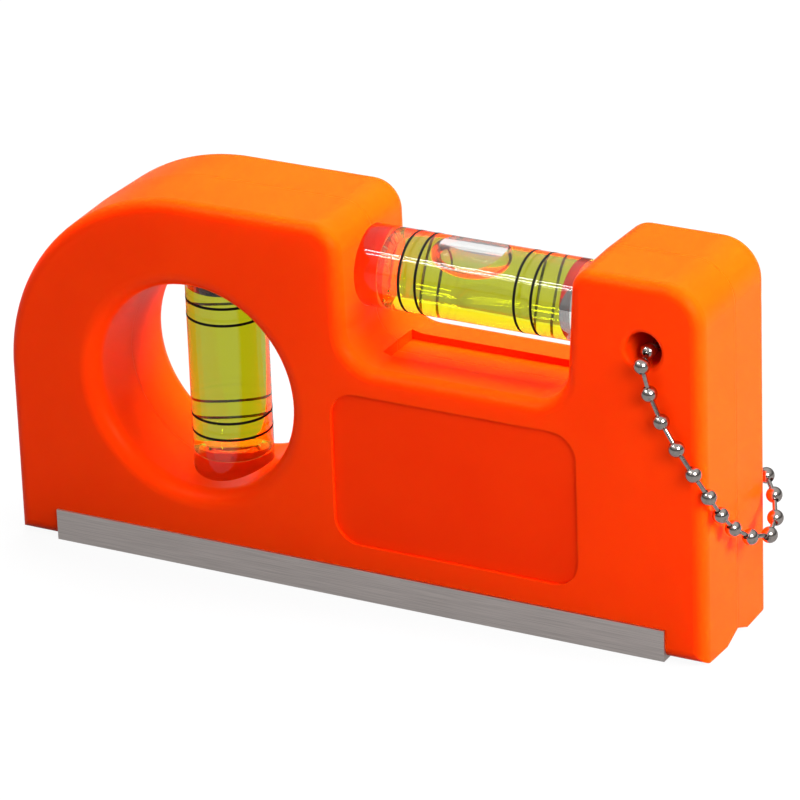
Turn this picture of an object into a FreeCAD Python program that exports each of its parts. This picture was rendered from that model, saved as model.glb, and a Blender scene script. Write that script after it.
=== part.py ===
import FreeCAD, Part
import operator
import os
import Sketcher
from FreeCAD import Placement, Rotation, Vector

# A pocket spirit level. X runs along its length, +Z is up and the labelled face looks along -Y.
# The origin is in the middle of the body's length and depth, on the plane that the base measures from.
# Sizes are in millimetres and degrees.
SIZES = {
    # moulded body
    "end_to_window": 31.1,
    "window_to_saddle": 25.66,
    "saddle_length": 34.84,
    "tower_length": 21.8,
    "body_depth": 21.6,
    "body_top": 58.05,
    "end_rise": 0.1,
    "draft_angle": 1.0,
    "shoulder_radius": 31.0,
    "tower_radius": 4.5,
    "tower_inner_radius": 3.4,
    "tower_outer_radius": 6.0,
    "rim_radius": 1.9,
    # saddle that the level vial crosses
    "saddle_lean": 1.3,
    "saddle_deep": 21.25,
    "saddle_radius": 5.5,
    "tray_margin": 3.2,
    "tray_width": 9.0,
    "tray_sink": 1.2,
    # round window round the plumb vial
    "window_height": 28.2,
    "window_radius": 16.0,
    "window_rim": 2.6,
    # label recess
    "label_shift": -0.25,
    "label_bottom": 8.7,
    "label_length": 39.2,
    "label_tall": 24.0,
    "label_corner": 4.0,
    "label_sink": 0.5,
    # vials
    "vial_diameter": 12.0,
    "vial_length": 44.6,
    "level_vial_shift": -0.13,
    "level_vial_drop": 9.5,
    "plumb_vial_shift": 0.6,
    "plumb_vial_lift": 1.1,
    "cavity_length": 29.0,
    "cavity_end_radius": 4.4,
    "cavity_barrel": 0.2,
    "line_inner": 7.85,
    "line_outer": 10.5,
    "line_width": 0.4,
    "line_deep": 0.1,
    "plug_clearance": 0.03,
    "bubble_length": 12.6,
    "bubble_width": 7.0,
    "bubble_deep": 5.0,
    "bubble_shift": -1.3,
    "air_gap": 2.5,
    "seat_clearance": 0.05,
    # base channel
    "channel_inset_left": 7.0,
    "channel_inset_right": 6.45,
    "channel_wall": 0.9,
    "channel_proud": 0.3,
    "channel_tall": 4.85,
    "channel_bead": 0.3,
    "bead_tall": 0.8,
    "groove_half": 3.6,
    "groove_deep": 1.5,
    # magnets
    "magnet_diameter": 10.0,
    "magnet_thick": 3.0,
    "magnet_inset": 12.7,
    "magnet_window": 8.4,
    "magnet_lift": 2.6,
    # locating pins between the halves
    "pin_diameter": 3.0,
    "pin_length": 2.5,
    "pin_clearance": 0.05,
    "pin_edge": 6.5,
    "pin_low": 9.7,
    "pin_high": 21.0,
    # chain
    "eye_inset": 9.25,
    "eye_drop": 10.55,
    "eye_radius": 2.7,
    "eye_rim": 0.8,
    "ball_diameter": 2.4,
    "ball_count": 25,
    "ball_gap": 0.15,
    "link_diameter": 0.75,
    "link_socket": 1.0,
    "link_reach": 0.75,
    "chain_stand_off": 3.0,
    "chain_drop": 31.2,
    "clasp_ball": 17,
    "clasp_wall": 0.25,
    "clasp_clearance": 0.08,
    "clasp_slot": 1.35,
}

doc = FreeCAD.newDocument("spirit_level")
sheet = doc.addObject("Spreadsheet::Sheet", "sizes")
for row, (alias, value) in enumerate(SIZES.items(), start=1):
    sheet.set(f"A{row}", alias)
    sheet.set(f"B{row}", str(value))
    sheet.setAlias(f"B{row}", alias)
doc.recompute()

SIGNS = {"+": operator.add, "-": operator.sub, "*": operator.mul, "/": operator.truediv, "^": operator.pow}


class Size:
    """A size that keeps both its number and the sheet expression that gives it."""

    def __init__(self, number, words):
        self.number = number
        self.words = words

    def joined(self, sign, other):
        if not isinstance(other, Size):
            other = Size(other, str(other))
        return Size(SIGNS[sign](self.number, other.number), f"({self.words} {sign} {other.words})")

    def __add__(self, other):
        return self.joined("+", other)

    def __sub__(self, other):
        return self.joined("-", other)

    def __mul__(self, other):
        return self.joined("*", other)

    def __truediv__(self, other):
        return self.joined("/", other)

    def __pow__(self, other):
        return self.joined("^", other)

    def __neg__(self):
        return self.joined("*", -1)


def size(alias):
    return Size(float(sheet.get(alias)), f"sizes.{alias}")


ZERO = Size(0.0, "0")
BODY_LENGTH = size("end_to_window") + size("window_to_saddle") + size("saddle_length") + size("tower_length")
HALF_LENGTH = BODY_LENGTH / 2
HALF_DEPTH = size("body_depth") / 2
WINDOW_X = size("end_to_window") - HALF_LENGTH
SADDLE_LEFT = WINDOW_X + size("window_to_saddle")
SADDLE_RIGHT = SADDLE_LEFT + size("saddle_length")
SADDLE_MIDDLE = SADDLE_LEFT + size("saddle_length") / 2
SADDLE_FLOOR = size("body_top") - size("saddle_deep")
EYE_X = HALF_LENGTH - size("eye_inset")
EYE_Z = size("body_top") - size("eye_drop")
VIAL_RADIUS = size("vial_diameter") / 2
LEVEL_X = SADDLE_MIDDLE + size("level_vial_shift")
LEVEL_Z = size("body_top") - size("level_vial_drop")
PLUMB_X = WINDOW_X + size("plumb_vial_shift")
PLUMB_Z = size("window_height") + size("plumb_vial_lift")
CLEAR = size("seat_clearance")
SUBPARTS = []


def bind(thing, **values):
    """Ties properties of an object to the sheet. A double underscore stands for a dot in the name."""
    for name, value in values.items():
        thing.setExpression(name.replace("__", "."), value.words)
    return thing


def place(thing, x=ZERO, y=ZERO, z=ZERO, turn=None):
    """Puts an object at a place that the sheet gives, turned by a fixed rotation."""
    thing.Placement = Placement(Vector(x.number, y.number, z.number), turn or Rotation())
    bind(thing, Placement__Base__x=x, Placement__Base__y=y, Placement__Base__z=z)
    return thing


def keep(thing, name):
    """Marks an object as one of the level's pieces, under the name of its file."""
    thing.Label = name
    SUBPARTS.append(thing)
    return thing


def new_body(name):
    body = doc.addObject("PartDesign::Body", name)
    body.Label = name + "_body"
    return body


def sketch_on(body, name, role, lift=None):
    """A sketch on one of the body's own planes, lifted along the plane's normal where that is given."""
    sketch = body.newObject("Sketcher::SketchObject", name)
    plane = [feature for feature in body.Origin.OriginFeatures if feature.Role == role][0]
    sketch.AttachmentSupport = [(plane, "")]
    sketch.MapMode = "FlatFace"
    if lift:
        sketch.AttachmentOffset = Placement(Vector(0, 0, lift.number), Rotation())
        bind(sketch, AttachmentOffset__Base__z=lift)
    return sketch


def hold_point(sketch, line, corner):
    """Fixes the first point of a line at a corner whose two coordinates the sheet gives."""
    for kind, value in zip(("DistanceX", "DistanceY"), corner):
        number = sketch.addConstraint(Sketcher.Constraint(kind, -1, 1, line, 1, value.number))
        sketch.setExpression(f"Constraints[{number}]", value.words)


def add_outline(sketch, corners, crowns=None):
    """A closed outline through the corners. A side named in crowns is an arc that bulges by that much."""
    crowns = crowns or {}
    first = sketch.GeometryCount
    count = len(corners)
    for side, start in enumerate(corners):
        end = corners[(side + 1) % count]
        a = Vector(start[0].number, start[1].number, 0)
        b = Vector(end[0].number, end[1].number, 0)
        if side in crowns:
            across = Vector(a.y - b.y, b.x - a.x, 0).normalize()
            middle = (a + b) / 2 + across * crowns[side].number
            sketch.addGeometry(Part.Arc(a, middle, b), False)
        else:
            sketch.addGeometry(Part.LineSegment(a, b), False)
    for side, start in enumerate(corners):
        after = (side + 1) % count
        sketch.addConstraint(Sketcher.Constraint("Coincident", first + side, 2, first + after, 1))
    for side, start in enumerate(corners):
        hold_point(sketch, first + side, start)
        if side in crowns:
            half_chord = (corners[(side + 1) % count][0] - start[0]) / 2
            radius = (half_chord**2 + crowns[side] ** 2) / (crowns[side] * 2)
            number = sketch.addConstraint(Sketcher.Constraint("Radius", first + side, abs(radius.number)))
            sketch.setExpression(f"Constraints[{number}]", f"abs{radius.words}")
    return sketch


def add_circle(sketch, x, y, radius):
    centre = Vector(x.number, y.number, 0)
    line = sketch.addGeometry(Part.Circle(centre, Vector(0, 0, 1), radius.number), False)
    number = sketch.addConstraint(Sketcher.Constraint("Radius", line, radius.number))
    sketch.setExpression(f"Constraints[{number}]", radius.words)
    for kind, value in (("DistanceX", x), ("DistanceY", y)):
        number = sketch.addConstraint(Sketcher.Constraint(kind, -1, 1, line, 3, value.number))
        sketch.setExpression(f"Constraints[{number}]", value.words)
    return sketch


def extrude(body, kind, name, sketch, length, reverse=False, taper=None):
    """A Pad or Pocket of the sketch, with draft where a taper is given."""
    feature = body.newObject(kind, name)
    feature.Profile = sketch
    feature.Reversed = reverse
    bind(feature, Length=length)
    if taper:
        bind(feature, TaperAngle=taper)
    body.Tip = feature
    return feature


def turn_up(body, kind, name, sketch):
    """A Revolution or Groove of the sketch, all round its own horizontal axis."""
    feature = body.newObject(kind, name)
    feature.Profile = sketch
    feature.ReferenceAxis = (sketch, ["H_Axis"])
    feature.Angle = 360.0
    body.Tip = feature
    return feature


def round_edges(body, name, wanted, radius):
    """Rounds the edges of the body's last feature that the test wants."""
    doc.recompute()
    last = body.Tip
    edges = [f"Edge{number}" for number, edge in enumerate(last.Shape.Edges, start=1) if wanted(edge)]
    fillet = body.newObject("PartDesign::Fillet", name)
    fillet.Base = (last, edges)
    bind(fillet, Radius=radius)
    body.Tip = fillet
    doc.recompute()
    return fillet


def cylinder(name, radius, height, x=ZERO, y=ZERO, z=ZERO, turn=None):
    tool = doc.addObject("Part::Cylinder", name)
    bind(tool, Radius=radius, Height=height)
    return place(tool, x, y, z, turn)


def block(name, length, width, height, x=ZERO, y=ZERO, z=ZERO):
    tool = doc.addObject("Part::Box", name)
    bind(tool, Length=length, Width=width, Height=height)
    return place(tool, x, y, z)


def cut(name, base, tool):
    made = doc.addObject("Part::Cut", name)
    made.Base = base
    made.Tool = tool
    return made


def fuse(name, pieces):
    made = doc.addObject("Part::MultiFuse", name)
    made.Shapes = pieces
    return made


# Rotations that lay a cylinder's own Z axis along X or Y.
ALONG_X = Rotation(Vector(0, 1, 0), 90)
ALONG_Y = Rotation(Vector(1, 0, 0), -90)
UPRIGHT = Rotation(Vector(0, 1, 0), -90)

# The moulding's corners as seen from the front. Each corner's rounding is a size of its own.
LEAN = size("saddle_lean")
BODY_CORNERS = [
    (-HALF_LENGTH, size("end_rise"), None),
    (HALF_LENGTH, size("end_rise"), None),
    (HALF_LENGTH, size("body_top"), size("tower_outer_radius")),
    (SADDLE_RIGHT + LEAN, size("body_top"), size("tower_inner_radius")),
    (SADDLE_RIGHT, SADDLE_FLOOR, size("saddle_radius")),
    (SADDLE_LEFT, SADDLE_FLOOR, size("saddle_radius")),
    (SADDLE_LEFT - LEAN / 4, size("body_top"), size("tower_radius")),
    (-HALF_LENGTH, size("body_top"), size("shoulder_radius")),
]


def corner_edge(x, z):
    """A test for the edge that runs through the depth from one corner of the outline."""

    def wanted(edge):
        if len(edge.Vertexes) != 2:
            return False
        low, high = sorted(edge.Vertexes, key=lambda vertex: abs(vertex.Point.y))
        at_corner = abs(low.Point.x - x.number) < 0.01 and abs(low.Point.z - z.number) < 0.01
        return at_corner and abs(low.Point.y) < 0.01 < abs(high.Point.y)

    return wanted


def face_rim(inside):
    """A test for the edges in the outer face, taken or left out by how near they lie to a hole's centre."""

    def wanted(edge):
        box = edge.BoundBox
        flat = abs(abs(box.YMin) - HALF_DEPTH.number) < 0.001 and abs(box.YMax - box.YMin) < 0.001
        on_foot = box.ZMax < size("end_rise").number + 0.01
        return flat and not on_foot and inside(edge)

    return wanted


def is_circle_at(x, z):
    def inside(edge):
        curve = edge.Curve
        centred = hasattr(curve, "Center") and abs(curve.Center.x - x.number) < 0.01
        return centred and abs(curve.Center.z - z.number) < 0.01 and edge.isClosed()

    return inside


def moulding(name, reverse):
    """One half of the body as it leaves the mould: drafted from the parting plane, with rounded rims."""
    body = new_body(name)
    outline = sketch_on(body, name + "_outline", "XZ_Plane")
    add_outline(outline, [(x, z) for x, z, radius in BODY_CORNERS])
    draft = size("draft_angle")
    extrude(body, "PartDesign::Pad", name + "_block", outline, HALF_DEPTH, reverse, -draft)
    for number, (x, z, radius) in enumerate(BODY_CORNERS):
        if radius:
            round_edges(body, f"{name}_corner_{number}", corner_edge(x, z), radius)
    window = sketch_on(body, name + "_window_circle", "XZ_Plane")
    add_circle(window, WINDOW_X, size("window_height"), size("window_radius"))
    extrude(body, "PartDesign::Pocket", name + "_window", window, HALF_DEPTH, not reverse, draft)
    eye = sketch_on(body, name + "_eye_circle", "XZ_Plane")
    add_circle(eye, EYE_X, EYE_Z, size("eye_radius"))
    extrude(body, "PartDesign::Pocket", name + "_eye", eye, HALF_DEPTH, not reverse)
    in_window = is_circle_at(WINDOW_X, size("window_height"))
    in_eye = is_circle_at(EYE_X, EYE_Z)
    round_edges(body, name + "_eye_rim", face_rim(in_eye), size("eye_rim"))
    round_edges(body, name + "_window_rim", face_rim(in_window), size("window_rim"))
    round_edges(body, name + "_rim", face_rim(lambda edge: not edge.isClosed()), size("rim_radius"))
    return body


def label_recess(body):
    """The shallow recess that a label would be stuck in, left bare."""
    left = SADDLE_MIDDLE + size("label_shift") - size("label_length") / 2
    low = size("label_bottom")
    right = left + size("label_length")
    high = low + size("label_tall")
    recess = sketch_on(body, "label_outline", "XZ_Plane", HALF_DEPTH)
    add_outline(recess, [(left, low), (right, low), (right, high), (left, high)])
    extrude(body, "PartDesign::Pocket", "label_recess", recess, size("label_sink"))
    sink = size("label_sink").number

    def wanted(edge):
        box = edge.BoundBox
        at_x = min(abs(box.XMin - left.number), abs(box.XMin - right.number)) < 0.01
        at_z = min(abs(box.ZMin - low.number), abs(box.ZMin - high.number)) < 0.01
        return at_x and at_z and abs(box.YLength - sink) < 0.01 and box.XLength < 0.01

    round_edges(body, "label_corners", wanted, size("label_corner"))


# The channel's place along the base, and the offsets of its section from the middle plane.
CHANNEL_START = size("channel_inset_left") - HALF_LENGTH
CHANNEL_END = HALF_LENGTH - size("channel_inset_right")
CHANNEL_OUTER = HALF_DEPTH + size("channel_proud")
CHANNEL_INNER = CHANNEL_OUTER - size("channel_wall")
CHANNEL_TALL = size("channel_tall")
WALL = size("channel_wall")
GROOVE_HALF = size("groove_half")
GROOVE_DEEP = size("groove_deep")


def mirrored(half):
    """Completes a section about the middle plane from the corners on its +Y side, the first on the plane."""
    return half + [(-y, z) for y, z in reversed(half) if y.number > 0.001]


def channel_space():
    """The room for the base channel under the moulding, a clearance larger than the channel's inside."""
    body = new_body("channel_space")
    section = sketch_on(body, "channel_space_section", "YZ_Plane", CHANNEL_START - CLEAR)
    inner = CHANNEL_INNER - CLEAR
    bead_foot = CHANNEL_TALL - size("bead_tall") - CLEAR
    bead_tip = inner - size("channel_bead")
    outside = CHANNEL_OUTER + WALL
    above = CHANNEL_TALL + CLEAR
    half = [
        (ZERO, GROOVE_DEEP + WALL + CLEAR),
        (GROOVE_HALF, WALL + CLEAR),
        (inner, WALL + CLEAR),
        (inner, bead_foot),
        (bead_tip, (bead_foot + above) / 2),
        (inner, above),
        (outside, above),
        (outside, -WALL),
    ]
    add_outline(section, mirrored(half))
    extrude(body, "PartDesign::Pad", "channel_space_pad", section, CHANNEL_END - CHANNEL_START + CLEAR * 2)
    return body


def end_groove():
    """The vee that carries the base groove on through the moulded ends."""
    body = new_body("end_groove")
    section = sketch_on(body, "end_groove_section", "YZ_Plane", -HALF_LENGTH - 1)
    rise = size("end_rise")
    side = GROOVE_HALF * 2
    low = rise - GROOVE_DEEP
    add_outline(section, [(ZERO, rise + GROOVE_DEEP), (-side, low), (side, low)])
    extrude(body, "PartDesign::Pad", "end_groove_pad", section, BODY_LENGTH + 2)
    return body


MAGNETS = [("magnet_left", CHANNEL_START + size("magnet_inset")),
           ("magnet_right", CHANNEL_END - size("magnet_inset"))]
PIN_EDGE = size("pin_edge")
BETWEEN_VIALS = (PLUMB_X + VIAL_RADIUS + LEVEL_X - size("vial_length") / 2) / 2
PIN_SPOTS = [
    (-HALF_LENGTH + PIN_EDGE, size("pin_low")),
    (SADDLE_LEFT - PIN_EDGE / 2, size("pin_low")),
    (BETWEEN_VIALS, size("body_top") - PIN_EDGE),
    (LEVEL_X, size("pin_high")),
    (HALF_LENGTH - PIN_EDGE, size("pin_high")),
]


def hollows():
    """Everything that both halves leave room for, as one tool."""
    socket = VIAL_RADIUS + CLEAR
    length = size("vial_length")
    start = LEVEL_X - length / 2 - CLEAR
    level = cylinder("level_socket", socket, length + CLEAR * 2, start, ZERO, LEVEL_Z, ALONG_X)
    low = PLUMB_Z - length / 2 - CLEAR
    plumb = cylinder("plumb_socket", socket, length + CLEAR * 2, PLUMB_X, ZERO, low)
    tray_left = SADDLE_LEFT + size("tray_margin")
    tray_long = size("saddle_length") - size("tray_margin") * 2
    tray_low = SADDLE_FLOOR - size("tray_sink")
    tray_tall = size("tray_sink") + 1
    tray = block("tray", tray_long, size("tray_width"), tray_tall, tray_left, -size("tray_width") / 2, tray_low)
    tools = [level, plumb, tray, channel_space(), end_groove()]
    well = size("magnet_lift") + size("magnet_thick") + CLEAR
    for name, along in MAGNETS:
        radius = size("magnet_diameter") / 2 + CLEAR
        tools.append(cylinder(name + "_well", radius, well, along))
    return fuse("hollows", tools)


def body_halves():
    """The two mouldings, one pinned into the other on the middle plane with the vials between them."""
    room = hollows()
    front = moulding("front_moulding", False)
    label_recess(front)
    rear = moulding("rear_moulding", True)
    pins = []
    holes = []
    slack = size("pin_clearance")
    for number, (x, z) in enumerate(PIN_SPOTS, start=1):
        pin_radius = size("pin_diameter") / 2
        long = size("pin_length")
        pins.append(cylinder(f"pin_{number}", pin_radius, long * 2, x, -long, z, ALONG_Y))
        deep = long + slack * 2
        holes.append(cylinder(f"pin_hole_{number}", pin_radius + slack, deep, x, -deep, z, ALONG_Y))
    front_room = fuse("front_room", [room] + holes)
    keep(cut("front_half", front, front_room), "body_front_half")
    keep(fuse("rear_half", [cut("rear_half_bare", rear, room)] + pins), "body_rear_half")


def base_channel():
    """The aluminium channel that caps the base, with a groove for pipes and a window under each magnet."""
    body = new_body("base_channel")
    section = sketch_on(body, "channel_section", "YZ_Plane", CHANNEL_START)
    bead_foot = CHANNEL_TALL - size("bead_tall")
    half = [
        (ZERO, GROOVE_DEEP),
        (GROOVE_HALF, ZERO),
        (CHANNEL_OUTER, ZERO),
        (CHANNEL_OUTER, CHANNEL_TALL),
        (CHANNEL_INNER, CHANNEL_TALL),
        (CHANNEL_INNER - size("channel_bead"), (bead_foot + CHANNEL_TALL) / 2),
        (CHANNEL_INNER, bead_foot),
        (CHANNEL_INNER, WALL),
        (GROOVE_HALF, WALL),
    ]
    inner_apex = [(ZERO, GROOVE_DEEP + WALL)]
    other_side = [(-y, z) for y, z in reversed(half[1:])]
    add_outline(section, half + inner_apex + other_side)
    extrude(body, "PartDesign::Pad", "channel_pad", section, CHANNEL_END - CHANNEL_START)
    windows = sketch_on(body, "magnet_windows", "XY_Plane")
    for name, along in MAGNETS:
        add_circle(windows, along, ZERO, size("magnet_window") / 2)
    extrude(body, "PartDesign::Pocket", "magnet_window_cut", windows, CHANNEL_TALL, True)
    keep(body, "base_channel")


def magnets():
    """Two disc magnets in wells over the channel's windows, held in by the channel."""
    for name, along in MAGNETS:
        radius = size("magnet_diameter") / 2
        keep(cylinder(name, radius, size("magnet_thick"), along, ZERO, size("magnet_lift")), name)


# Sections of a vial, along its own X axis with the middle of its lines at zero.
HALF_VIAL = size("vial_length") / 2
HALF_CAVITY = size("cavity_length") / 2
CAVITY_END = size("cavity_end_radius")
LINE_PLACES = [-size("line_outer"), -size("line_inner"), size("line_inner"), size("line_outer")]


def line_section(body, name):
    """Four small rectangles at the vial's surface, where its lines are printed."""
    section = sketch_on(body, name, "XZ_Plane")
    half_width = size("line_width") / 2
    low = VIAL_RADIUS - size("line_deep")
    for middle in LINE_PLACES:
        left = middle - half_width
        right = middle + half_width
        add_outline(section, [(left, low), (right, low), (right, VIAL_RADIUS), (left, VIAL_RADIUS)])
    return section


def vial(name, x, z, turn, void):
    """A clear barrel bored from one end, its plug, the fluid and the printed lines."""
    barrel = new_body(name + "_barrel")
    rod = sketch_on(barrel, name + "_rod_section", "XZ_Plane")
    add_outline(rod, [(-HALF_VIAL, ZERO), (HALF_VIAL, ZERO), (HALF_VIAL, VIAL_RADIUS), (-HALF_VIAL, VIAL_RADIUS)])
    turn_up(barrel, "PartDesign::Revolution", name + "_rod", rod)
    cavity = sketch_on(barrel, name + "_cavity_section", "XZ_Plane")
    corners = [(-HALF_CAVITY, ZERO), (HALF_VIAL, ZERO), (HALF_VIAL, CAVITY_END), (HALF_CAVITY, CAVITY_END),
               (-HALF_CAVITY, CAVITY_END)]
    add_outline(cavity, corners, {3: -size("cavity_barrel")})
    turn_up(barrel, "PartDesign::Groove", name + "_cavity", cavity)
    line_grooves = line_section(barrel, name + "_line_groove_section")
    turn_up(barrel, "PartDesign::Groove", name + "_line_grooves", line_grooves)
    keep(place(barrel, x, ZERO, z, turn), name + "_barrel")

    plug = new_body(name + "_plug")
    stopper = sketch_on(plug, name + "_plug_section", "XZ_Plane")
    plug_radius = CAVITY_END - size("plug_clearance")
    ends = [(HALF_CAVITY, ZERO), (HALF_VIAL, ZERO), (HALF_VIAL, plug_radius), (HALF_CAVITY, plug_radius)]
    add_outline(stopper, ends)
    turn_up(plug, "PartDesign::Revolution", name + "_stopper", stopper)
    keep(place(plug, x, ZERO, z, turn), name + "_plug")

    fill = new_body(name + "_fill")
    pool = sketch_on(fill, name + "_fill_section", "XZ_Plane")
    corners = [(-HALF_CAVITY, ZERO), (HALF_CAVITY, ZERO), (HALF_CAVITY, CAVITY_END), (-HALF_CAVITY, CAVITY_END)]
    add_outline(pool, corners, {2: -size("cavity_barrel")})
    turn_up(fill, "PartDesign::Revolution", name + "_fill_turned", pool)
    fluid = cut(name + "_fluid", fill, void)
    keep(place(fluid, x, ZERO, z, turn), name + "_fluid")

    lines = new_body(name + "_lines")
    lines.AllowCompound = True
    printed = line_section(lines, name + "_line_section")
    turn_up(lines, "PartDesign::Revolution", name + "_line_bands", printed)
    keep(place(lines, x, ZERO, z, turn), name + "_lines")


def vials():
    """The level vial across the saddle and the plumb vial up the window, alike but for their bubbles."""
    bubble = doc.addObject("Part::Ellipsoid", "bubble")
    bubble.Angle1 = -90
    bubble.Angle2 = 90
    bubble.Angle3 = 360
    deep = size("bubble_deep")
    bind(bubble, Radius1=deep / 2, Radius2=size("bubble_length") / 2, Radius3=size("bubble_width") / 2)
    place(bubble, size("bubble_shift"), ZERO, CAVITY_END - deep / 4)
    vial("level_vial", LEVEL_X, LEVEL_Z, Rotation(), bubble)
    air = cylinder("air_space", VIAL_RADIUS, size("air_gap") * 2, HALF_CAVITY - size("air_gap"), ZERO, ZERO, ALONG_X)
    vial("plumb_vial", PLUMB_X, PLUMB_Z, UPRIGHT, air)


def chain_route():
    """The closed line that the chain's balls lie on: out of the eye, round the end and back behind."""
    ball = size("ball_diameter").number / 2
    front = -HALF_DEPTH.number - ball - size("ball_gap").number
    rear = -front
    end = HALF_LENGTH.number + ball
    eye_x = EYE_X.number
    eye_z = EYE_Z.number
    bed = eye_z - size("eye_radius").number + ball + size("ball_gap").number
    stand = end + size("chain_stand_off").number
    low = eye_z - size("chain_drop").number
    points = [
        Vector(eye_x, front + 7.7, bed + 0.15),
        Vector(eye_x, front + 4.0, bed + 0.5),
        Vector(eye_x + 0.55, front, eye_z - 0.65),
        Vector(eye_x + 1.45, front, eye_z - 5.1),
        Vector(eye_x + 5.75, front - 0.2, eye_z - 13.1),
        Vector(end - 0.75, front + 1.5, low + 10.8),
        Vector(stand - 2.4, front + 6.5, low + 4.05),
        Vector(stand - 0.7, front + 11.6, low + 0.55),
        Vector(stand, front + 14.9, low),
        Vector(stand - 1.3, front + 18.9, low + 1.0),
        Vector(end - 0.3, rear - 1.6, low + 2.8),
        Vector(end - 3.3, rear + 1.2, low + 3.9),
        Vector(eye_x + 2.6, rear + 1.0, low + 6.6),
        Vector(eye_x + 0.9, rear + 0.8, eye_z - 16.5),
        Vector(eye_x + 0.5, rear + 0.5, eye_z - 8.0),
        Vector(eye_x + 0.3, rear, eye_z - 0.6),
        Vector(eye_x, rear - 4.0, bed + 0.5),
        Vector(eye_x, rear - 7.7, bed + 0.15),
        Vector(eye_x, 0, bed),
    ]
    curve = Part.BSplineCurve()
    curve.interpolate(Points=points, PeriodicFlag=True)
    return curve


def aimed(start, end, back=0.0):
    """A placement at start, or a little before it, whose Z axis points at end."""
    direction = (end - start).normalize()
    return Placement(start - direction * back, Rotation(Vector(0, 0, 1), direction))


def chain():
    """A ball chain: balls at an even pitch on the route, a pin between each pair and a clasp at one gap."""
    count = int(size("ball_count").number)
    route = chain_route().toShape().discretize(Number=count + 1)
    balls = route[:count]
    clasp_at = int(size("clasp_ball").number)
    ball_radius = size("ball_diameter") / 2
    socket = size("link_socket") / 2
    reach = size("link_reach")
    links = []
    for number, centre in enumerate(balls, start=1):
        ball = doc.addObject("Part::Sphere", f"ball_{number}")
        bind(ball, Radius=ball_radius)
        after = balls[number % count]
        before = balls[number - 2]
        ball.Placement = Placement(centre, Rotation(Vector(0, 1, 0), after - before))
        drilled = []
        for side, other in (("after", after), ("before", before)):
            drill = doc.addObject("Part::Cylinder", f"ball_{number}_{side}")
            bind(drill, Radius=socket, Height=ball_radius)
            gap = ball_radius.number - reach.number
            direction = (other - centre).normalize()
            drill.Placement = Placement(centre + direction * gap, Rotation(Vector(0, 0, 1), direction))
            drilled.append(drill)
        name = f"chain_ball_{number:02d}"
        keep(cut(name, ball, fuse(name + "_sockets", drilled)), name)
        if number != clasp_at:
            inset = ball_radius.number - reach.number * 0.8
            pin = doc.addObject("Part::Cylinder", f"link_{number}")
            bind(pin, Radius=size("link_diameter") / 2)
            pin.Height = (after - centre).Length - inset * 2
            pin.Placement = aimed(centre, after, -inset)
            links.append(pin)
    pins = doc.addObject("Part::Compound", "chain_pins")
    pins.Links = links
    keep(pins, "chain_pins")
    clasp(balls[clasp_at - 1], balls[clasp_at % count])
    print("chain pitch", round((balls[1] - balls[0]).Length, 3))


def clasp(first, second):
    """A sleeve of thin sheet, open along one side, that holds the chain's two end balls."""
    ball_radius = size("ball_diameter") / 2
    inner = ball_radius + size("clasp_clearance")
    outer = inner + size("clasp_wall")
    wall = size("clasp_wall").number
    long = (second - first).Length + inner.number * 2
    spot = aimed(first, second, inner.number + wall)
    sleeve = doc.addObject("Part::Cylinder", "clasp_sleeve")
    bind(sleeve, Radius=outer)
    sleeve.Height = long + wall * 2
    room = doc.addObject("Part::Cylinder", "clasp_room")
    bind(room, Radius=inner)
    room.Height = long
    room.Placement = Placement(Vector(0, 0, wall), Rotation())
    eyes = doc.addObject("Part::Cylinder", "clasp_eyes")
    bind(eyes, Radius=size("clasp_slot") / 2)
    eyes.Height = long + wall * 2
    slot = doc.addObject("Part::Box", "clasp_slot_cut")
    bind(slot, Length=outer * 2, Width=size("clasp_slot"))
    slot.Height = long + wall * 2
    slot.Placement = Placement(Vector(0, -size("clasp_slot").number / 2, 0), Rotation())
    made = cut("clasp", sleeve, fuse("clasp_inside", [room, eyes, slot]))
    made.Placement = spot
    keep(made, "chain_clasp")


body_halves()
base_channel()
magnets()
vials()
chain()
doc.recompute()

for thing in doc.Objects:
    if "Invalid" in thing.State or "Error" in thing.State:
        raise RuntimeError(f"{thing.Name} failed: {thing.State}")
for thing in SUBPARTS:
    if thing.Shape.isNull() or not thing.Shape.isValid() or not thing.Shape.Solids:
        raise RuntimeError(f"{thing.Label} has no sound solid")

os.makedirs("parts", exist_ok=True)
for thing in SUBPARTS:
    thing.Shape.exportStep(f"parts/{thing.Label}.step")
    box = thing.Shape.BoundBox
    print(f"{thing.Label:18s} solids {len(thing.Shape.Solids):2d} volume {thing.Shape.Volume:9.1f}"
          f" x {box.XMin:6.1f} {box.XMax:6.1f} y {box.YMin:6.1f} {box.YMax:6.1f} z {box.ZMin:6.1f} {box.ZMax:6.1f}")
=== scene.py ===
import math

import bpy
from mathutils import Matrix, Vector


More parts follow.
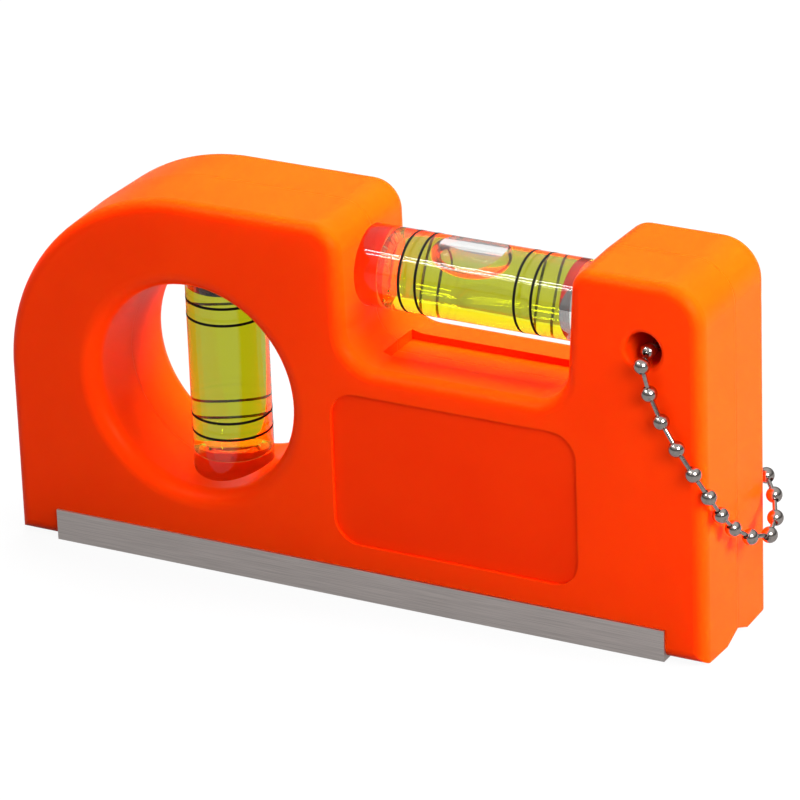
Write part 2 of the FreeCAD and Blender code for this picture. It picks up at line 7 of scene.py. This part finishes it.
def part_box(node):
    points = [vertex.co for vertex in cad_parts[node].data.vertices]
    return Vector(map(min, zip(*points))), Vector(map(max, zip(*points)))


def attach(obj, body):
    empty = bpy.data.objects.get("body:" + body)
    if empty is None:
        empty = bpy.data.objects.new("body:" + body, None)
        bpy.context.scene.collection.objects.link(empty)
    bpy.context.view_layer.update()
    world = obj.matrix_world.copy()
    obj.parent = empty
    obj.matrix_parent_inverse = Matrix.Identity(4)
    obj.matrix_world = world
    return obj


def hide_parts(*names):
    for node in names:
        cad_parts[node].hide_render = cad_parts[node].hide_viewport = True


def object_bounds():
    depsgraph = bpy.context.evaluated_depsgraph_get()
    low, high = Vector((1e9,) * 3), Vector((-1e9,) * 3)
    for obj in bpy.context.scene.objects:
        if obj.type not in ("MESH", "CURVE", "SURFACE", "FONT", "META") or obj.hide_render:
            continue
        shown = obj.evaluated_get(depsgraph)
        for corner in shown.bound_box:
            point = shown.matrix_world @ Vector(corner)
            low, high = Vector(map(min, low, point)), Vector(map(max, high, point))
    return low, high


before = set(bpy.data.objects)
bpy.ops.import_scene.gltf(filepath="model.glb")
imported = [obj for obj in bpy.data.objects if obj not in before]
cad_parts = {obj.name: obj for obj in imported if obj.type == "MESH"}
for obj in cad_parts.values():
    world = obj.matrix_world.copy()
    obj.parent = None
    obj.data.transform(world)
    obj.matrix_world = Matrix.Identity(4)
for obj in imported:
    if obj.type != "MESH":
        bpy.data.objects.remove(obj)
cad_bounds = [list(corner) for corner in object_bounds()]
MM = 0.001

# The view: a long lens from the front right and a little above.
# Its place and turn were worked out from the edges of the base strip and of the vials.
LENS = 244.01
EYE_POINT = Vector((0.344145, -0.630021, 0.351867))
EYE_RIGHT = Vector((0.8861457, 0.4621889, -0.0335737))
EYE_UP = Vector((-0.1636437, 0.3798859, 0.9104435))
EYE_BACK = Vector((0.4335511, -0.8012915, 0.4122686))

bpy.ops.object.select_all(action="DESELECT")
bpy.ops.object.camera_add()
camera = bpy.context.object
camera.data.sensor_width = 36.0
camera.data.lens = LENS
camera.data.clip_start = 0.01
turned = Matrix((EYE_RIGHT, EYE_UP, EYE_BACK)).transposed()
camera.matrix_world = Matrix.Translation(EYE_POINT) @ turned.to_4x4()
bpy.context.scene.camera = camera
bpy.context.scene.view_settings.view_transform = "Standard"

# The body: two mouldings of orange plastic, welded together on the middle plane.
# Glossy where the mould was polished, duller in the label recess, and light soaks a little way in.
ORANGE = (0.94, 0.040, 0.0005)
ORANGE_DEEP = (0.84, 0.026, 0.0003)
LABEL_PLACE = ((-2.37, 36.83), (8.7, 32.7))
LABEL_DEPTH = (-10.6, -10.0)
LABEL_EDGE = 0.1
SEAM_WIDTH = 0.14
FLOW_SCALE = 0.045
GRAIN_SCALE = 3.5
WAVE_SCALE = 0.11
SKIN_DEEP = 0.003


class Tone:
    """One output of a material's nodes. Arithmetic on it adds the Math nodes that work the sum out."""

    def __init__(self, tree, socket):
        self.tree = tree
        self.socket = socket

    def node(self, kind, values=None, output=0, **settings):
        """A node of a kind: first its settings, then values or tones for its sockets."""
        made = self.tree.nodes.new(kind)
        for name, setting in settings.items():
            setattr(made, name, setting)
        for name, value in (values or {}).items():
            if isinstance(value, Tone):
                self.tree.links.new(value.socket, made.inputs[name])
            else:
                made.inputs[name].default_value = value
        return Tone(self.tree, made.outputs[output])

    def math(self, operation, first, second=0.0):
        return self.node("ShaderNodeMath", {0: first, 1: second}, operation=operation)

    def __add__(self, other):
        return self.math("ADD", self, other)

    def __radd__(self, other):
        return self.math("ADD", other, self)

    def __sub__(self, other):
        return self.math("SUBTRACT", self, other)

    def __rsub__(self, other):
        return self.math("SUBTRACT", other, self)

    def __mul__(self, other):
        return self.math("MULTIPLY", self, other)

    def __rmul__(self, other):
        return self.math("MULTIPLY", other, self)

    def size(self):
        """The value without its sign."""
        return self.math("ABSOLUTE", self)

    def larger(self, other):
        return self.math("MAXIMUM", self, other)

    def ramp(self, low, high):
        """Nought below low, one above high and smooth between them. Low may be the larger one."""
        values = {"Value": self, "From Min": low, "From Max": high}
        return self.node("ShaderNodeMapRange", values, interpolation_type="SMOOTHSTEP")

    def between(self, low, high, soft):
        """One between two places, and nought past them."""
        return self.ramp(low - soft, low) * self.ramp(high + soft, high)


TO_MM = (1000.0,) * 3


def new_finish(name):
    """A material, the start of its tones, its place in millimetres and its surface shader."""
    material = bpy.data.materials.new(name)
    material.use_nodes = True
    tree = material.node_tree
    shader = tree.nodes["Principled BSDF"]
    start = Tone(tree, None)
    place = start.node("ShaderNodeTexCoord", output=3)
    scaled = start.node("ShaderNodeVectorMath", {0: place, 1: TO_MM}, operation="MULTIPLY")
    return material, start, scaled, shader


def set_surface(shader, start, **inputs):
    """Sets the surface shader's inputs from plain values or tones. An underscore stands for a space."""
    for name, value in inputs.items():
        socket = shader.inputs[name.replace("_", " ")]
        if isinstance(value, Tone):
            start.tree.links.new(value.socket, socket)
        else:
            socket.default_value = value


def noise(start, place, scale, detail=2.0):
    return start.node("ShaderNodeTexNoise", {"Vector": place, "Scale": scale, "Detail": detail})


def bump(start, height):
    """The normal of a surface whose height is given in millimetres."""
    return start.node("ShaderNodeBump", {"Height": height, "Distance": MM, "Strength": 1.0})


def mix_colour(start, share, first, second):
    """The first colour where the share is nought, the second where it is one."""
    values = {0: share, 6: (*first, 1.0), 7: (*second, 1.0)}
    return start.node("ShaderNodeMix", values, 2, data_type="RGBA")


def axes(start, place):
    return [start.node("ShaderNodeSeparateXYZ", {0: place}, axis) for axis in range(3)]


def orange_plastic():
    material, start, place, shader = new_finish("orange_plastic")
    x, y, z = axes(start, place)
    (left, right), (low, high) = LABEL_PLACE
    across = x.between(left, right, LABEL_EDGE) * z.between(low, high, LABEL_EDGE)
    in_label = across * y.between(*LABEL_DEPTH, LABEL_EDGE / 2)
    flow = noise(start, place, FLOW_SCALE)
    colour = mix_colour(start, flow.ramp(0.35, 0.65) * 0.3 + in_label * 0.7, ORANGE, ORANGE_DEEP)
    grain = noise(start, place, GRAIN_SCALE, 3.0)
    waves = noise(start, place, WAVE_SCALE, 1.0)
    seam = y.size().ramp(SEAM_WIDTH, SEAM_WIDTH / 2)
    height = grain * 0.0012 + waves * 0.05 - seam * 0.05
    set_surface(
        shader,
        start,
        Base_Color=colour,
        Roughness=0.3 + grain * 0.08 + in_label * 0.16,
        Normal=bump(start, height),
        IOR=1.46,
        Specular_IOR_Level=0.1,
        Specular_Tint=(1.0, 0.5, 0.2, 1.0),
        Subsurface_Weight=0.3,
        Subsurface_Radius=(1.0, 0.12, 0.02),
        Subsurface_Scale=SKIN_DEEP,
    )
    return material


def dress(node, material):
    """Gives a piece that comes as it was built its finish."""
    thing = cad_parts[node]
    thing.data.materials.clear()
    thing.data.materials.append(material)


orange = orange_plastic()
dress("body_front_half", orange)
dress("body_rear_half", orange)

# The base channel: drawn aluminium, sawn to length and left as it comes, with two round windows.
# The die leaves fine lines along it, and handling dulls it in patches.
ALUMINIUM = (0.82, 0.745, 0.715)
ALUMINIUM_DARK = (0.57, 0.515, 0.495)
DRAWN = (0.012, 1.0, 1.0)
LINE_SCALE = 9.0
BROAD_SCALE = 1.6
HANDLED_SCALE = 0.22
DARKER = 0.72


def drawn_aluminium():
    material, start, place, shader = new_finish("drawn_aluminium")
    stretched = start.node("ShaderNodeVectorMath", {0: place, 1: DRAWN}, operation="MULTIPLY")
    lines = noise(start, stretched, LINE_SCALE, 4.0)
    broad = noise(start, stretched, BROAD_SCALE)
    handled = noise(start, place, HANDLED_SCALE, 4.0)
    share = lines.ramp(0.38, 0.66) * 0.55 + broad * 0.35
    set_surface(
        shader,
        start,
        Base_Color=mix_colour(start, share, ALUMINIUM, ALUMINIUM_DARK),
        Metallic=1.0,
        Roughness=0.34 + lines * 0.14 + handled * 0.08,
        Normal=bump(start, lines * 0.006 + broad * 0.01),
        Anisotropic=0.5,
    )
    return material


def nickel(name, colour, roughness, scale):
    """A plated metal with fine dark specks."""
    material, start, place, shader = new_finish(name)
    speckle = noise(start, place, scale, 3.0)
    dark = [part * DARKER for part in colour]
    set_surface(
        shader,
        start,
        Base_Color=mix_colour(start, speckle.ramp(0.45, 0.75), colour, dark),
        Metallic=1.0,
        Roughness=roughness + speckle * 0.1,
        Normal=bump(start, speckle * 0.004),
    )
    return material


dress("base_channel", drawn_aluminium())

# The magnets: two nickel plated discs that show through the channel's windows.
# They are alike, and duller than the chain.
magnet_plate = nickel("magnet_plate", (0.58, 0.57, 0.56), 0.3, 0.8)
dress("magnet_left", magnet_plate)
dress("magnet_right", magnet_plate)

# The vials: clear acrylic rods bored from one end, filled with dyed spirit and plugged.
# Both are alike. Each is modelled lying along X about the middle of its lines, then put in its place.
SIDES = 96
VIAL_RADIUS = 6.0 * MM
HALF_VIAL = 22.3 * MM
VIAL_EDGE = 0.5 * MM
CAVITY_RADIUS = 4.6 * MM
CAVITY_END = 4.4 * MM
HALF_CAVITY = 14.5 * MM
CAVITY_ROUND = 1.4 * MM
ROUND_STEPS = 4
WALL_STEPS = 12
WETTING = 0.02 * MM
INK_UNDER = 0.005 * MM
INK_OVER = 0.03 * MM
LINE_PLACES = [part * MM for part in (-10.5, -7.85, 7.85, 10.5)]
LINE_WIDTH = 0.42 * MM
BUBBLE_SIZE = Vector((12.6, 7.0, 5.0)) * MM
BUBBLE_SHIFT = -1.3 * MM
AIR_GAP = 2.5 * MM
SMEAR_SCALE = 0.35
SWIRL_SCALE = 0.12
FLECK_SCALE = 6.0
SMOOTH_ANGLE = math.radians(35)
ALONG_X = (0.0, math.pi / 2, 0.0)
SAME_PLACE = 1e-7
FLUID_THROUGH = (0.984, 0.992, 0.02)
FLUID_STRENGTH = 440.0


def clear_acrylic():
    material, start, place, shader = new_finish("clear_acrylic")
    smears = noise(start, place, SMEAR_SCALE, 3.0)
    set_surface(
        shader,
        start,
        Base_Color=mix_colour(start, smears, (1.0, 1.0, 1.0), (0.97, 0.985, 0.96)),
        Roughness=0.01 + smears.ramp(0.5, 0.8) * 0.02,
        Transmission_Weight=1.0,
        IOR=1.49,
        Normal=bump(start, smears * 0.01),
    )
    return material


def spirit_dye():
    material, start, place, shader = new_finish("spirit_dye")
    swirl = noise(start, place, SWIRL_SCALE, 1.0)
    set_surface(
        shader,
        start,
        Base_Color=mix_colour(start, swirl, (1.0, 1.0, 0.60), (0.97, 0.97, 0.50)),
        Roughness=0.0,
        Transmission_Weight=1.0,
        IOR=1.36,
    )
    values = {"Color": (*FLUID_THROUGH, 1.0), "Density": FLUID_STRENGTH}
    soaked = start.node("ShaderNodeVolumeAbsorption", values)
    output = start.tree.nodes["Material Output"]
    start.tree.links.new(soaked.socket, output.inputs["Volume"])
    return material


def line_ink():
    material, start, place, shader = new_finish("line_ink")
    flecks = noise(start, place, FLECK_SCALE, 3.0)
    set_surface(
        shader,
        start,
        Base_Color=mix_colour(start, flecks, (0.002, 0.002, 0.002), (0.008, 0.008, 0.007)),
        Roughness=0.55 + flecks * 0.2,
        Specular_IOR_Level=0.15,
        Normal=bump(start, flecks * 0.003),
    )
    return material


def finished(thing, name, material):
    """Names a new piece, gives it its finish and fixes it to the body."""
    thing.name = name
    thing.data.name = name
    thing.data.materials.clear()
    thing.data.materials.append(material)
    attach(thing, "root")
    return thing


def draw_out(profile, sides, closed_ring=False):
    """A round piece along X, drawn out ring by ring. The profile gives each ring's X and radius."""
    bpy.ops.object.select_all(action="DESELECT")
    along, radius = profile[0]
    spot = (along, 0, 0)
    bpy.ops.mesh.primitive_circle_add(vertices=sides, radius=radius, location=spot, rotation=ALONG_X)
    thing = bpy.context.object
    bpy.ops.object.transform_apply(location=True, rotation=True, scale=True)
    bpy.ops.object.mode_set(mode="EDIT")
    bpy.ops.mesh.select_all(action="SELECT")
    for next_along, next_radius in profile[1:]:
        step = (next_along - along, 0.0, 0.0)
        bpy.ops.mesh.extrude_region_move(TRANSFORM_OT_translate={"value": step})
        scale = next_radius / radius
        bpy.ops.transform.resize(value=(1.0, scale, scale), center_override=(next_along, 0.0, 0.0))
        along, radius = next_along, next_radius
    if not closed_ring:
        bpy.ops.mesh.edge_face_add()
        bpy.ops.mesh.select_all(action="DESELECT")
        bpy.ops.mesh.select_non_manifold()
        bpy.ops.mesh.edge_face_add()
    bpy.ops.mesh.select_all(action="SELECT")
    bpy.ops.mesh.remove_doubles(threshold=SAME_PLACE)
    bpy.ops.mesh.normals_make_consistent(inside=False)
    bpy.ops.object.mode_set(mode="OBJECT")
    bpy.ops.object.shade_smooth_by_angle(angle=SMOOTH_ANGLE)
    return thing


def cut_away(thing, tool):
    """Takes one modelled piece out of another, and removes the tool."""
    bpy.ops.object.select_all(action="DESELECT")
    thing.select_set(True)
    bpy.context.view_layer.objects.active = thing
    bpy.ops.object.modifier_add(type="BOOLEAN")
    modifier = thing.modifiers[-1]
    modifier.operation = "DIFFERENCE"
    modifier.solver = "EXACT"
    modifier.object = tool
    bpy.ops.object.modifier_apply(modifier=modifier.name)
    bpy.data.objects.remove(tool)
    bpy.ops.object.shade_smooth_by_angle(angle=SMOOTH_ANGLE)
    return thing


def cavity_profile(grow):
    """The bore's rings: a soft blind end, a slightly barrelled wall and a square end at the plug."""
    rings = []
    for step in range(ROUND_STEPS + 1):
        angle = math.pi / 2 * step / ROUND_STEPS
        along = -HALF_CAVITY - grow + CAVITY_ROUND * (1 - math.sin(angle))
        drawn_in = CAVITY_ROUND * (1 - math.cos(math.pi / 2 - angle))
        rings.append((along, CAVITY_END + grow - drawn_in))
    for step in range(1, WALL_STEPS):
        share = 2 * step / WALL_STEPS - 1
        bulge = (CAVITY_RADIUS - CAVITY_END) * (1 - share**2)
        along = share * HALF_CAVITY
        if along > -HALF_CAVITY + CAVITY_ROUND:
            rings.append((along, CAVITY_END + grow + bulge))
    rings.append((HALF_CAVITY + grow, CAVITY_END + grow))
    return rings


def put_vial(thing, middle, upright):
    """Moves a vial's piece from the origin to its place. An upright one has its plug at the top."""
    bpy.ops.object.select_all(action="DESELECT")
    thing.select_set(True)
    bpy.context.view_layer.objects.active = thing
    if upright:
        thing.rotation_euler = (0.0, -math.pi / 2, 0.0)
    thing.location = middle
    bpy.ops.object.transform_apply(location=True, rotation=True, scale=True)
    return thing


def copy_of(thing):
    made = thing.copy()
    made.data = thing.data.copy()
    bpy.context.scene.collection.objects.link(made)
    return made


def make_barrel():
    outside = [(-HALF_VIAL, VIAL_RADIUS - VIAL_EDGE), (-HALF_VIAL + VIAL_EDGE, VIAL_RADIUS)]
    outside += [(HALF_VIAL - VIAL_EDGE, VIAL_RADIUS), (HALF_VIAL, VIAL_RADIUS - VIAL_EDGE)]
    return cut_away(draw_out(outside, SIDES), draw_out(cavity_profile(0.0), SIDES))


def make_lines(places, width):
    """The four printed rings, one piece, standing a hair's breadth off the barrel."""
    rings = []
    inner = VIAL_RADIUS + INK_UNDER
    outer = VIAL_RADIUS + INK_OVER
    for middle in places:
        low, high = middle - width / 2, middle + width / 2
        profile = [(low, inner), (low, outer), (high, outer), (high, inner), (low, inner)]
        rings.append(draw_out(profile, SIDES, closed_ring=True))
    bpy.ops.object.select_all(action="DESELECT")
    for ring in rings:
        ring.select_set(True)
    bpy.context.view_layer.objects.active = rings[0]
    bpy.ops.object.join()
    return bpy.context.object


def make_air(upright):
    """What the fluid leaves: a layer under the upright vial's plug, or the level vial's bubble."""
    bpy.ops.object.select_all(action="DESELECT")
    if upright:
        size = {"radius": VIAL_RADIUS, "depth": AIR_GAP * 2}
        spot = (HALF_CAVITY + WETTING, 0, 0)
        bpy.ops.mesh.primitive_cylinder_add(vertices=64, location=spot, rotation=ALONG_X, **size)
    else:
        spot = (BUBBLE_SHIFT, 0, CAVITY_END - BUBBLE_SIZE.z / 4)
        bpy.ops.mesh.primitive_uv_sphere_add(segments=64, ring_count=32, radius=0.5, location=spot)
        bpy.context.object.scale = BUBBLE_SIZE
    return bpy.context.object


def middle_of(node):
    low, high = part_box(node)
    return (low + high) / 2


acrylic = clear_acrylic()
spirit = spirit_dye()
ink = line_ink()
barrel = make_barrel()
lines = make_lines(LINE_PLACES, LINE_WIDTH)
for vial in ("level_vial", "plumb_vial"):
    upright = vial == "plumb_vial"
    middle = middle_of(vial + "_barrel")
    filled = draw_out(cavity_profile(WETTING), SIDES)
    fluid = cut_away(filled, make_air(upright))
    pieces = [
        (copy_of(barrel), "_barrel", acrylic, "vial_acrylic"),
        (fluid, "_fluid", spirit, "vial_fluid"),
        (copy_of(lines), "_lines", ink, "line_ink"),
    ]
    for thing, part, finish, slot in pieces:
        put_vial(thing, middle, upright)
        # Clear acrylic hardly casts a shadow: the fluid and the ink do.
        thing.visible_shadow = finish is not acrylic
        finished(thing, vial + part + "_clear", finish)
        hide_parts(vial + part)
    dress(vial + "_plug", acrylic)
    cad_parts[vial + "_plug"].visible_shadow = False
bpy.data.objects.remove(barrel)
bpy.data.objects.remove(lines)

# The chain: hollow balls rolled from thin plated steel round the heads of short pins.
# Each ball has a hole at either end, where the neck of a pin passes through.
BALL_RADIUS = 1.2 * MM
BALL_HOLE = 0.46 * MM
BALL_SKIN = 0.14 * MM
PIN_RADIUS = 0.34 * MM
PIN_SUNK = 0.55 * MM
HEAD_RADIUS = 0.425 * MM
HEAD_NOSE = 0.25 * MM
HEAD_STEPS = [part * MM for part in (0.0, 0.1, 0.25, 0.35)]
BALL_SIDES = 36
BALL_STEPS = 14
PIN_SIDES = 20


def make_ball():
    """A ball's skin, drawn out from one hole to the other and back again inside."""
    profile = []
    for radius, order in ((BALL_RADIUS, 1), (BALL_RADIUS - BALL_SKIN, -1)):
        start = math.asin(BALL_HOLE / radius)
        for step in range(BALL_STEPS + 1)[::order]:
            angle = start + (math.pi - 2 * start) * step / BALL_STEPS
            profile.append((-radius * math.cos(angle), radius * math.sin(angle)))
    profile.append(profile[0])
    return draw_out(profile, BALL_SIDES, closed_ring=True)


def make_pin(gap):
    """A pin as long as the gap between two balls, with a head at each end inside them."""
    reach = gap / 2 - BALL_RADIUS + PIN_SUNK
    radii = (HEAD_NOSE, HEAD_RADIUS, HEAD_RADIUS, PIN_RADIUS)
    profile = [(along - reach, radius) for along, radius in zip(HEAD_STEPS, radii)]
    profile += [(-along, radius) for along, radius in reversed(profile)]
    return draw_out(profile, PIN_SIDES)


def point_along(thing, spot, direction):
    """Turns a piece modelled along X to a direction and moves it to its place."""
    bpy.ops.object.select_all(action="DESELECT")
    thing.select_set(True)
    bpy.context.view_layer.objects.active = thing
    thing.rotation_mode = "QUATERNION"
    thing.rotation_quaternion = direction.to_track_quat("X", "Z")
    thing.location = spot
    bpy.ops.object.transform_apply(location=True, rotation=True, scale=True)
    return thing


chain_plate = nickel("chain_plate", (0.50, 0.45, 0.42), 0.12, 1.6)
ball_nodes = sorted(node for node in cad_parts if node.startswith("chain_ball"))
centres = [middle_of(node) for node in ball_nodes]
clasp_middle = middle_of("chain_clasp")
ball_model = make_ball()
pins = []
for number, node in enumerate(ball_nodes):
    after = centres[(number + 1) % len(centres)]
    gap = after - centres[number]
    ball = point_along(copy_of(ball_model), centres[number], after - centres[number - 1])
    finished(ball, node + "_pierced", chain_plate)
    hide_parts(node)
    halfway = (centres[number] + after) / 2
    if (halfway - clasp_middle).length > BALL_RADIUS:
        pins.append(point_along(make_pin(gap.length), halfway, gap))
bpy.data.objects.remove(ball_model)
bpy.ops.object.select_all(action="DESELECT")
for pin in pins:
    pin.select_set(True)
bpy.context.view_layer.objects.active = pins[0]
bpy.ops.object.join()
finished(bpy.context.object, "chain_pins_headed", chain_plate)
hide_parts("chain_pins")
dress("chain_clasp", chain_plate)

# The floor and the light: a sheet that the level stands on, three soft lamps and two thin strips.
# The camera sees the sheet as white, and the sheet keeps the level's shadow.
# The strips draw two fine lines of light along the level vial.
FLOOR_SIZE = 6.0
FLOOR_GREY = 0.17
FLOOR_GLOW = 0.85
FLOOR_SHINE = 0.4
FLOOR_SEEN = 1.1


def ray_kinds(start):
    """Whether a ray comes from the camera, from a reflection or through something clear."""
    return [start.node("ShaderNodeLightPath", output=socket) for socket in (0, 3, 6)]


bpy.ops.object.select_all(action="DESELECT")
bpy.ops.mesh.primitive_plane_add(size=FLOOR_SIZE, location=(0, 0, cad_bounds[0][2]))
floor = bpy.context.object
floor.name = "floor"
sheet, start, place, shader = new_finish("white_sheet")
grey = (FLOOR_GREY,) * 3
set_surface(shader, start, Base_Color=(*grey, 1.0), Roughness=0.9, Specular_IOR_Level=0.0)
seen, glossy, through = ray_kinds(start)
glow_grey = mix_colour(start, glossy, (FLOOR_SEEN,) * 3, (FLOOR_SHINE,) * 3)
glow = start.node("ShaderNodeEmission", {"Color": glow_grey, "Strength": 1.0})
own = Tone(start.tree, shader.outputs[0])
shown = seen.larger(glossy).larger(through)
mixed = start.node("ShaderNodeMixShader", {0: shown * FLOOR_GLOW, 1: own, 2: glow})
start.tree.links.new(mixed.socket, start.tree.nodes["Material Output"].inputs["Surface"])
floor.data.materials.append(sheet)


def soft_lamp(name, spot, aim, width, height, watts, mirrored=True):
    """A lamp turned to a point. One that isn't mirrored lights things but shows in none of them."""
    bpy.ops.object.select_all(action="DESELECT")
    bpy.ops.object.light_add(type="AREA", location=spot)
    lamp = bpy.context.object
    lamp.name = name
    lamp.data.shape = "RECTANGLE"
    lamp.data.size = width
    lamp.data.size_y = height
    lamp.data.energy = watts
    lamp.visible_glossy = mirrored
    lamp.visible_transmission = mirrored
    lamp.rotation_euler = (Vector(aim) - Vector(spot)).to_track_quat("-Z", "Y").to_euler()


soft_lamp("lamp_key", (0.20, -0.12, 0.16), (0.05, 0.0, 0.03), 0.10, 0.10, 0.5)
soft_lamp("lamp_above", (0.02, 0.14, 0.45), (0.0, 0.0, 0.04), 0.40, 0.26, 10.2, mirrored=False)
soft_lamp("lamp_end", (0.40, 0.04, 0.20), (0.05, 0.0, 0.03), 0.20, 0.20, 6.4, mirrored=False)
STRIP_SPOTS = {"strip_low": (-0.19, -0.27, 0.37), "strip_high": (-0.19, -0.22, 0.41)}
STRIP_AIM = (0.02, 0.0, 0.047)
for name, spot in STRIP_SPOTS.items():
    soft_lamp(name, spot, STRIP_AIM, 0.30, 0.014, 0.35)

# The room: white to the camera and through the vials, grey in reflections with a bright ceiling.
# Its own light is weak and even, so that the lamps draw the shapes.
ROOM_LIGHT = 0.15
ROOM_SHINE = 0.12
CEILING_SHINE = 0.7
CEILING_FROM = 0.15
CEILING_FULL = 0.75
world = bpy.data.worlds.new("white_room")
bpy.context.scene.world = world
world.use_nodes = True
tree = world.node_tree
start = Tone(tree, None)
seen, glossy, through = ray_kinds(start)
way = start.node("ShaderNodeTexCoord", output=0)
rise = start.node("ShaderNodeSeparateXYZ", {0: way}, 2)
shine = rise.ramp(CEILING_FROM, CEILING_FULL) * (CEILING_SHINE - ROOM_SHINE) + ROOM_SHINE
plain = seen.larger(through)
strength = plain + (1.0 - plain) * (glossy * shine + (1.0 - glossy) * ROOM_LIGHT)
tree.links.new(strength.socket, tree.nodes["Background"].inputs["Strength"])
tree.nodes["Background"].inputs["Color"].default_value = (1.0, 1.0, 1.0, 1.0)
